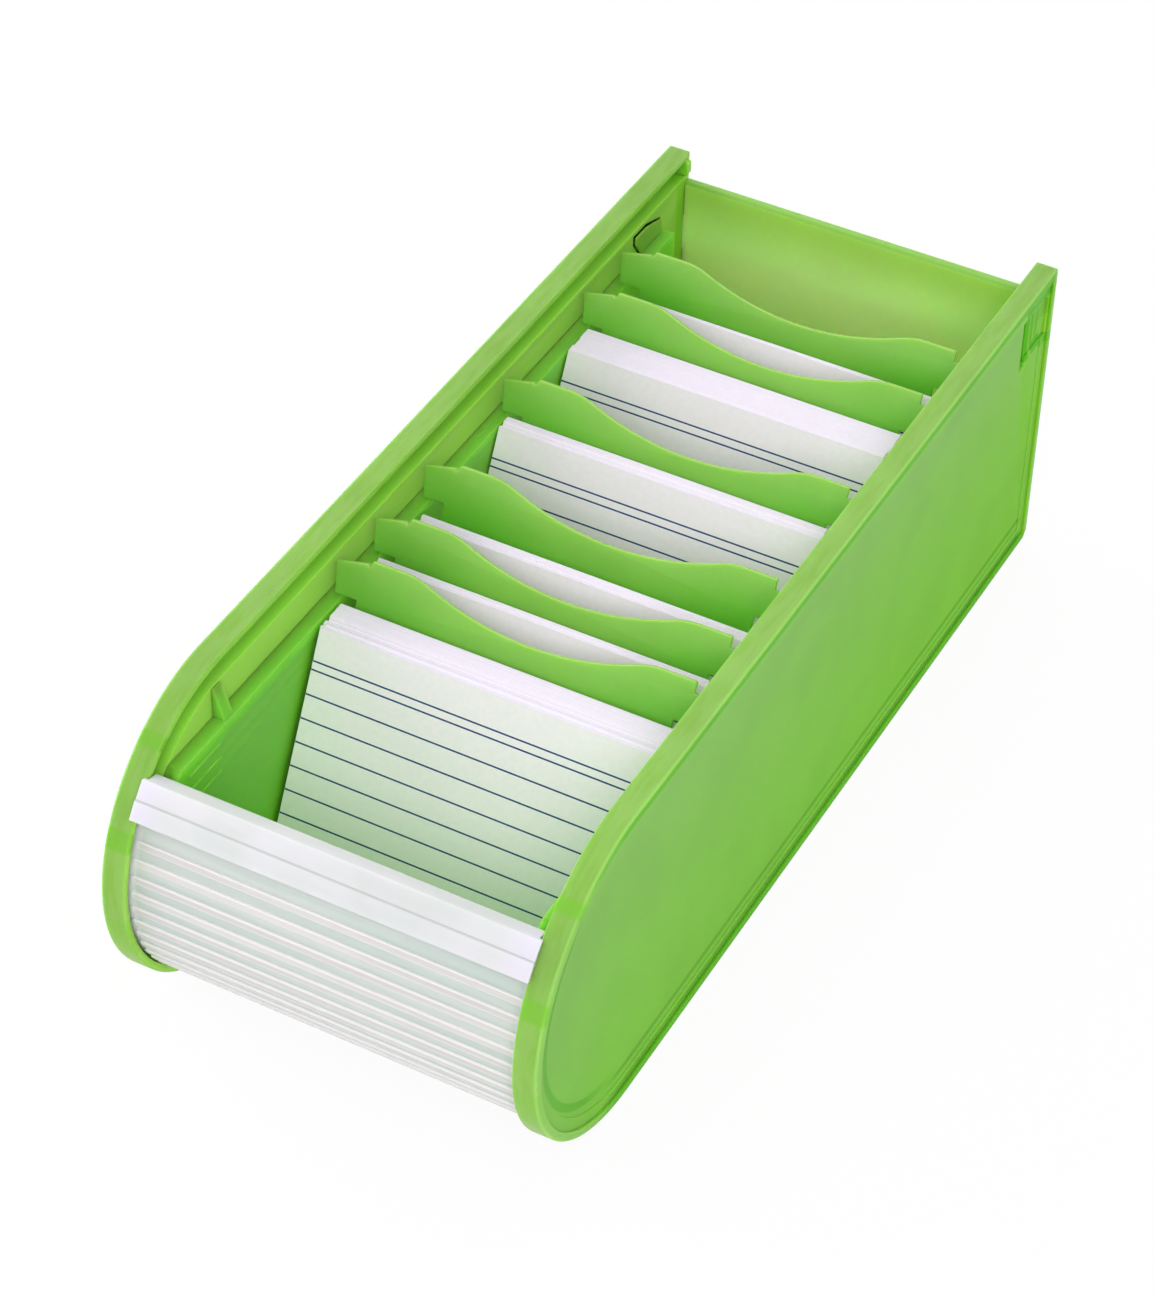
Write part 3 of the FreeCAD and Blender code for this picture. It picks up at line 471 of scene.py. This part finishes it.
# Painted light: the inner face glows yellow-green and grows brighter downwards.
colour = blend_colours(tree, ramp(tree, level, 66 * MM, 46 * MM), YELLOW_GLOW_GREEN, BACK_LOW_LIGHT)
colour = blend_colours(tree, inner, BACK_OUTSIDE, colour)
colour = blend_colours(tree, ramp(tree, level, 66.2 * MM, 66.6 * MM), colour, BACK_TOP)
tree.links.new(cloudy(tree, place, colour, 0.96), shader.inputs["Base Color"])
print("made", tray_green.name, "and", back_green.name)

# %% [markdown]
# ### Dividers
#
# A divider is thin, and its sagging top edge catches the light. Its colour is therefore painted light that
# follows the distance below that edge. The edge is a straight crest with a circle cut out of it, so the
# distance is the smaller of two: down from the crest, and out from the circle. The height along the leaning
# plate comes from an attribute, because each divider stands in a place of its own.

# %% Dividers
CREST = 61.04 * MM
DIP, DIP_X, DIP_RADIUS = 5.3 * MM, 2.2 * MM, 64.24 * MM
DIVIDER_TOP_LIT_GREEN = linear(138, 184, 86)

divider_green, tree, place, shader = frosted("divider_green", 6.0 * MM)
up = add(tree, "Attribute", [("attribute_name", "up_the_face")]).outputs["Fac"]
across = add(tree, "SeparateXYZ", Vector=place).outputs["X"]
aside = maths(tree, "SUBTRACT", across, DIP_X)
over = maths(tree, "SUBTRACT", up, CREST - DIP + DIP_RADIUS)
spread = maths(tree, "SQRT", maths(tree, "ADD", maths(tree, "POWER", aside, 2.0),
                                   maths(tree, "POWER", over, 2.0)))
below = maths(tree, "MINIMUM", maths(tree, "SUBTRACT", spread, DIP_RADIUS),
              maths(tree, "SUBTRACT", CREST, up))
# Painted light: lighter towards the top edge, and palest on the edge itself.
colour = blend_colours(tree, ramp(tree, below, 12 * MM, 0.5 * MM), DEEP_GREEN, DIVIDER_TOP_LIT_GREEN)
colour = blend_colours(tree, ramp(tree, below, 0.5 * MM, 0.0), colour, LIT_PALE_GREEN)
tree.links.new(cloudy(tree, place, colour, 0.95), shader.inputs["Base Color"])
print("made", divider_green.name)

# %% [markdown]
# ## The milky shutter
#
# The shutter is one ribbed sheet of milky plastic. The ribs are thick and look white with a touch of rose,
# and the thin web between them lets the green box show through, so it is painted pale green, as painted
# light from the box. The reach from the axis tells the two apart.
#
# Both edges of each rib get a painted highlight. They are placed by the length along the sheet, which is an
# arc about the round end and then a straight line under the box. Divided by the distance from rib to rib,
# its fractional part says where on a rib a point lies. Streaks along the ribs vary the tone, as in an
# extruded sheet.

# %% Shutter sheet
RIB_FOOT = RADIUS - 2.35 * MM
MIDDLE_OF_SHEET = RADIUS - 2.65 * MM
WEB_GREEN_LIGHT, WEB_STREAK_GREEN_LIGHT = linear(197, 211, 205), linear(209, 218, 213)
RIB, RIB_STREAK = linear(208, 202, 203), linear(216, 213, 211)
RIB_UPPER_HIGHLIGHT, RIB_LOWER_HIGHLIGHT = linear(232, 229, 229), linear(224, 223, 223)
SHEET_END_LIT_WHITE = linear(236, 234, 246)

milk, tree, shader = new_finish("milky_sheet")
place = add(tree, "TexCoord").outputs["Object"]
far, parts, ahead, above = reach(tree, place)
rib = ramp(tree, far, RIB_FOOT - 0.1 * MM, RIB_FOOT + 0.1 * MM)
quarter = maths(tree, "ADD", maths(tree, "ARCTAN2", above, ahead), math.pi / 2)
past = maths(tree, "MAXIMUM", maths(tree, "SUBTRACT", parts["Y"], ARC_Y), 0.0)
length = maths(tree, "SUBTRACT", maths(tree, "MULTIPLY", quarter, MIDDLE_OF_SHEET), past)
turns = maths(tree, "DIVIDE", length, RIB_PITCH)
off = maths(tree, "MULTIPLY", maths(tree, "SUBTRACT", maths(tree, "FRACT", turns), 0.5), RIB_PITCH)
streak = streaks(tree, place, 0.04, 420.0)
# The web is painted pale green, as painted light from the green box behind it.
web_green_light = blend_colours(tree, ramp(tree, streak, 0.35, 0.65), WEB_GREEN_LIGHT, WEB_STREAK_GREEN_LIGHT)
rib_colour = blend_colours(tree, ramp(tree, streak, 0.4, 0.7), RIB, RIB_STREAK)
# Painted highlights along both edges of each rib.
upper_highlight = band(tree, off, 0.66 * MM, 0.16 * MM, 0.14 * MM)
lower_highlight = both(tree, band(tree, off, -0.64 * MM, 0.1 * MM, 0.12 * MM), 0.7)
rib_colour = blend_colours(tree, upper_highlight, rib_colour, RIB_UPPER_HIGHLIGHT)
rib_colour = blend_colours(tree, lower_highlight, rib_colour, RIB_LOWER_HIGHLIGHT)
colour = blend_colours(tree, rib, web_green_light, rib_colour)
# The sheet's ends are painted white-lavender: their own pale tone, lifted by painted light against the rim's
# shade.
end = ramp(tree, maths(tree, "ABSOLUTE", parts["X"]), 40.2 * MM, 41.4 * MM)
colour = blend_colours(tree, end, colour, SHEET_END_LIT_WHITE)
tree.links.new(colour, shader.inputs["Base Color"])
shader.inputs["Roughness"].default_value = 0.42
translucent(shader, 0.6, (0.8, 1.0, 0.9), 3 * MM)
print("made", milk.name)

# %% Shutter handle
HANDLE, HANDLE_CLOUD = linear(218, 218, 221), linear(211, 213, 213)
HANDLE_END_WHITE, HANDLE_STREAK = linear(222, 218, 232), linear(228, 221, 228)
HANDLE_STEP_SHADE, HANDLE_LINE_ANGLE = linear(190, 193, 192), 38.0

handle_white, tree, shader = new_finish("handle_white")
place = add(tree, "TexCoord").outputs["Object"]
cloud = add(tree, "TexNoise", Vector=place, Scale=90.0, Detail=2.0).outputs["Fac"]
_, parts, ahead, above = reach(tree, place)
colour = blend_colours(tree, ramp(tree, cloud, 0.3, 0.7), HANDLE, HANDLE_CLOUD)
end = ramp(tree, maths(tree, "ABSOLUTE", parts["X"]), 34 * MM, 42 * MM)
colour = blend_colours(tree, end, colour, HANDLE_END_WHITE)
streak = ramp(tree, streaks(tree, place, 0.08, 260.0), 0.5, 0.75)
colour = blend_colours(tree, maths(tree, "MULTIPLY", streak, 0.5), colour, HANDLE_STREAK)
# Painted shade: a darker line along the handle, at a fixed angle about the round end.
step_shade = band(tree, angle_of(tree, ahead, above), HANDLE_LINE_ANGLE, 0.22, 0.25)
colour = blend_colours(tree, maths(tree, "MULTIPLY", step_shade, 0.8), colour, HANDLE_STEP_SHADE)
tree.links.new(colour, shader.inputs["Base Color"])
shader.inputs["Roughness"].default_value = 0.38
translucent(shader, 0.5, (0.9, 1.0, 1.0), 2 * MM)
print("made", handle_white.name)

# %% [markdown]
# ## Moulded edges
#
# A solid has knife-sharp edges, and no moulded part does. A copy of each solid gets its edges rounded, so
# that they catch a thin line of light. The copy is merged first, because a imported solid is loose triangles,
# and it then stands for the solid, which stays unseen. The curved stretches keep smooth shading.

# %% Round the edges of the moulded parts
SHARP = math.radians(30.0)
FLAT = math.radians(0.3)
SAME_POINT = 2e-6


def moulded(node, width, finish):
    """A copy of a solid whose sharp edges are rounded by width, in two steps."""
    copy = put(node + "_moulded", nodes[node].data.copy())
    shape = bmesh.new()
    shape.from_mesh(copy.data)
    bmesh.ops.remove_doubles(shape, verts=shape.verts, dist=SAME_POINT)
    bmesh.ops.dissolve_limit(shape, angle_limit=FLAT, verts=shape.verts, edges=shape.edges)
    sharp = [e for e in shape.edges if e.calc_face_angle(0.0) > SHARP]
    bmesh.ops.bevel(shape, geom=sharp, offset=width, segments=2, profile=0.5, affect="EDGES",
                    clamp_overlap=True)
    shape.to_mesh(copy.data)
    shape.free()
    copy.data.shade_smooth()
    copy.data.set_sharp_from_angle(angle=SHARP)
    copy.data.materials.clear()
    copy.data.materials.append(finish)
    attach(copy, nodes[node]["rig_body"])
    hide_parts(node)
    return copy


def points_of(mesh):
    """All vertices of a mesh as rows of x, y, z."""
    flat = np.empty(len(mesh.vertices) * 3, np.float32)
    mesh.vertices.foreach_get("co", flat)
    return flat.reshape(-1, 3)


def give(mesh, name, values):
    """Stores one number per vertex under a name that a material can read."""
    mesh.attributes.new(name, "FLOAT", "POINT").data.foreach_set("value", values.astype(np.float32))


# Two directions of a leaning plate or card: up along its face, and square to it towards the rear.
UP = np.array([0.0, math.sin(LEAN), math.cos(LEAN)])
BACK = np.array([0.0, math.cos(LEAN), -math.sin(LEAN)])

for side in ("left", "right"):
    moulded(f"{side}_side_panel", 0.22 * MM, panel_green)
    moulded(f"{side}_track_stop", 0.15 * MM, panel_green)
moulded("card_tray", 0.15 * MM, tray_green)
moulded("back_panel", 0.2 * MM, back_green)
for number in range(1, 7):
    plate = moulded(f"divider_{number}", 0.2 * MM, divider_green)
    points = points_of(plate.data)
    foot = points[np.argmin(points[:, 2])]
    rise = (points - foot) @ UP
    give(plate.data, "up_the_face", rise)
print("divider height", round(float(rise.max()) / MM, 2), "mm")

# %% Round the edges of the shutter
moulded("shutter_handle", 0.25 * MM, handle_white)
sheet_nodes = [name for name in nodes if name.startswith("shutter") and name != "shutter_handle"]
for name in sheet_nodes:
    moulded(name, 0.12 * MM, milk)
print("shutter pieces:", len(sheet_nodes) + 1)

# %% [markdown]
# ## Index cards
#
# Each stack is a handful of loose paper cards. A card is a thin box of eight points, so a whole stack is
# worked out at once: where each card stands, how far it was pushed aside, and how high it was cut. Cards
# that were put in together keep together, so the offsets go by small groups. Three numbers ride on the
# points: the distance below the card's top edge and a flag for its front, which place the ruled lines, and
# a tone for each card, which tells one edge from the next.

# %% How the cards stand
CARD_WIDE, CARD_HIGH, CARD_THICK = 74 * MM, 52 * MM, 0.25 * MM
CARD_STEP = 0.28 * MM / math.cos(LEAN)
ASIDE_AT_MOST, LOWER_AT_MOST = 0.04, 0.05
# For each stack, from the rear to the front: how many cards, pushed aside by, and lower by (millimetres).
GROUPS = {
    1: [(14, 0.0, 0.0), (3, 0.35, 0.16), (3, -0.2, 0.34), (2, 0.45, 0.2), (2, -0.25, 0.42), (2, 0.1, 0.3)],
    2: [(3, 0.0, 0.0), (3, 0.3, 0.25)],
    3: [(3, 0.0, 0.0), (2, 0.3, 0.2), (3, -0.1, 0.38)],
    4: [(6, 0.0, 0.0), (3, 0.3, 0.22), (2, -0.1, 0.4)],
    5: [(12, 0.0, 0.0), (9, 0.15, 0.06), (7, -0.1, 0.1)],
    6: [(2, 0.0, 0.0), (1, 0.25, 0.2)],
}
CARD_FACES = np.array([(0, 1, 2, 3), (5, 4, 7, 6), (4, 0, 3, 7), (1, 5, 6, 2), (3, 2, 6, 7), (4, 5, 1, 0)])
# For the eight corners of a card: 1 on its right side, 1 on its top edge, 1 on its rear face.
ON_RIGHT = np.array([0, 1, 1, 0, 0, 1, 1, 0])
ON_TOP = np.array([0, 0, 1, 1, 0, 0, 1, 1])
ON_REAR = np.array([0, 0, 0, 0, 1, 1, 1, 1])
print("cards:", sum(n for groups in GROUPS.values() for n, a, w in groups))

# %% Build one stack
chance = np.random.default_rng(7)


def card_stack(number, finish):
    """Thin boxes: corner = start + width * right + height * UP + thickness * BACK, for all cards at once."""
    node = f"card_stack_{number}"
    low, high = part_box(node)
    groups = GROUPS[number]
    count = sum(n for n, a, w in groups)
    aside = np.concatenate([np.full(n, a) for n, a, w in groups])[::-1] * MM
    lower = np.concatenate([np.full(n, w) for n, a, w in groups])[::-1] * MM
    aside = aside + chance.uniform(-ASIDE_AT_MOST, ASIDE_AT_MOST, count) * MM
    lower = lower + chance.uniform(0.0, LOWER_AT_MOST, count) * MM
    left = (low.x + high.x) / 2 - CARD_WIDE / 2 + aside
    foot = low.z + CARD_THICK * math.sin(LEAN)
    start = np.stack([left, low.y + CARD_STEP * np.arange(count), np.full(count, foot)], axis=1)
    tall = (CARD_HIGH - lower)[:, None, None]
    wide = ON_RIGHT[None, :, None] * np.array([CARD_WIDE, 0, 0])
    rise = ON_TOP[None, :, None] * tall * UP
    deep = ON_REAR[None, :, None] * CARD_THICK * BACK
    points = (start[:, None, :] + wide + rise + deep).reshape(-1, 3)
    faces = (CARD_FACES[None] + 8 * np.arange(count)[:, None, None]).reshape(-1, 4)
    mesh = bpy.data.meshes.new(node + "_cards")
    mesh.from_pydata(points.tolist(), [], faces.tolist())
    give(mesh, "below_top", ((1 - ON_TOP)[None] * tall[:, :, 0]).ravel())
    give(mesh, "on_front", np.tile(1.0 - ON_REAR, count))
    give(mesh, "tone", np.repeat(chance.uniform(0, 1, count), 8))
    mesh.materials.append(finish)
    made = put(node + "_cards", mesh)
    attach(made, node)
    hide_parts(node)
    return made


print("one card is", round(CARD_WIDE / MM), "by", round(CARD_HIGH / MM), "mm")

# %% [markdown]
# ### Ruled paper
#
# The ruling of a record card is a double line under the heading, and single lines below it. A wave that
# goes up and down once in each step down the card repeats the single line, and two more bands make the
# double line. The paper itself is off-white with a fine fibre, and its cut edges look a little cooler than
# its faces.

# %% Paper with ruled lines
PAPER, PAPER_FIBRE = linear(252, 241, 251), linear(246, 239, 246)
EDGE_WHITE, EDGE_GREY = linear(228, 225, 240), linear(214, 211, 230)
INK = linear(0, 62, 118)
LINE_HALF, LINE_SOFT = 0.15 * MM, 0.05 * MM
DOUBLE_LINE = (6.9 * MM, 8.7 * MM)
SINGLES_FROM, A_SINGLE_LINE, LINE_STEP = 11 * MM, 13.9 * MM, 5.1 * MM

paper, tree, shader = new_finish("ruled_paper")
place = add(tree, "TexCoord").outputs["Object"]
down = add(tree, "Attribute", [("attribute_name", "below_top")]).outputs["Fac"]
front = add(tree, "Attribute", [("attribute_name", "on_front")]).outputs["Fac"]
tone = add(tree, "Attribute", [("attribute_name", "tone")]).outputs["Fac"]
double = maths(tree, "ADD", *[band(tree, down, line, LINE_HALF, LINE_SOFT) for line in DOUBLE_LINE])
turns = maths(tree, "DIVIDE", maths(tree, "SUBTRACT", down, A_SINGLE_LINE), LINE_STEP)
apart = maths(tree, "MULTIPLY", maths(tree, "PINGPONG", turns, 0.5), LINE_STEP)
single = ramp(tree, apart, LINE_HALF + LINE_SOFT, LINE_HALF)
single = maths(tree, "MULTIPLY", single, maths(tree, "GREATER_THAN", down, SINGLES_FROM))
flat = maths(tree, "GREATER_THAN", front, 0.98)
ruled = maths(tree, "MULTIPLY", maths(tree, "MAXIMUM", double, single), flat)
fibre = add(tree, "TexNoise", Vector=place, Scale=900.0, Detail=3.0).outputs["Fac"]
sheet_colour = blend_colours(tree, ramp(tree, fibre, 0.3, 0.7), PAPER, PAPER_FIBRE)
edge_colour = blend_colours(tree, tone, EDGE_WHITE, EDGE_GREY)
body = blend_colours(tree, flat, edge_colour, sheet_colour)
tree.links.new(blend_colours(tree, ruled, body, INK), shader.inputs["Base Color"])
bump = add(tree, "Bump", Height=fibre, Strength=0.1, Distance=0.1 * MM)
tree.links.new(bump.outputs[0], shader.inputs["Normal"])
shader.inputs["Roughness"].default_value = 0.75
shader.inputs["Specular IOR Level"].default_value = 0.3
for number in GROUPS:
    stack = card_stack(number, paper)
    print(stack.name, len(stack.data.polygons), "faces")

# %% [markdown]
# ## Floor and light
#
# The box stands on a white sweep, in the even light of a studio: a broad lamp behind the camera, softer
# ones from the left and from above the rear, and a bright room. They are weak enough that a colour shows
# about as it is written. What the camera sees of the floor and the room is near white, while the light
# that they cast on the box is weaker.

# %% Floor
FLOOR_REACH, FLOOR_BELOW = 4.0, 0.2 * MM
FLOOR_GREY, FLOOR_GLOW = 0.9, 0.93


def seen(tree):
    """1 for rays from the camera, off a shiny face or through a clear one. 0 for all other light."""
    rays = add(tree, "LightPath").outputs
    others = maths(tree, "MAXIMUM", rays["Is Glossy Ray"], rays["Is Transmission Ray"])
    return maths(tree, "MAXIMUM", rays["Is Camera Ray"], others)


corners = [(-1, -1), (1, -1), (1, 1), (-1, 1)]
floor_points = [(x * FLOOR_REACH, y * FLOOR_REACH, -FLOOR_BELOW) for x, y in corners]
floor_mesh = bpy.data.meshes.new("floor")
floor_mesh.from_pydata(floor_points, [], [(0, 1, 2, 3)])
floor = put("floor", floor_mesh)
white, tree, shader = new_finish("floor_white")
shader.inputs["Base Color"].default_value = (FLOOR_GREY, FLOOR_GREY, FLOOR_GREY, 1)
shader.inputs["Roughness"].default_value = 0.9
shine = add(tree, "Emission", Color=(1, 1, 1, 1), Strength=1.0)
share = maths(tree, "MULTIPLY", seen(tree), FLOOR_GLOW)
mixed = add(tree, "MixShader", _0=share, _1=shader.outputs[0], _2=shine.outputs[0])
tree.links.new(mixed.outputs[0], tree.nodes["Material Output"].inputs["Surface"])
floor_mesh.materials.append(white)
print("floor", 2 * FLOOR_REACH, "m across")

# %% Room light and lamps
ROOM_CAST, ROOM_SEEN = 0.6, 1.0
AIM = Vector((0, 0, 0.03))
# Each lamp: its place and its size in metres, and its power in watts.
LAMPS = {
    "key_lamp": ((0.5, -0.9, 0.95), 0.8, 8.4),
    "back_lamp": ((-0.2, 0.7, 1.2), 0.9, 4.0),
    "left_lamp": ((-1.1, -0.1, 0.5), 0.9, 7.0),
}

room = bpy.data.worlds.new("room")
bpy.context.scene.world = room
room.use_nodes = True
tree = room.node_tree
strength = add(tree, "MapRange", Value=seen(tree))
strength.inputs["To Min"].default_value = ROOM_CAST
strength.inputs["To Max"].default_value = ROOM_SEEN
tree.links.new(strength.outputs[0], tree.nodes["Background"].inputs["Strength"])
tree.nodes["Background"].inputs["Color"].default_value = (1, 1, 1, 1)


def lamp(name, place, size, watts):
    """A square lamp of size metres that faces the box."""
    light = bpy.data.lights.new(name, "AREA")
    light.size = size
    light.energy = watts
    made = put(name, light)
    made.matrix_world = aimed(Vector(place), AIM)
    return made


for name, settings in LAMPS.items():
    lamp(name, *settings)
view = bpy.context.scene.view_settings
view.view_transform = "Standard"
print("lamps:", ", ".join(LAMPS))
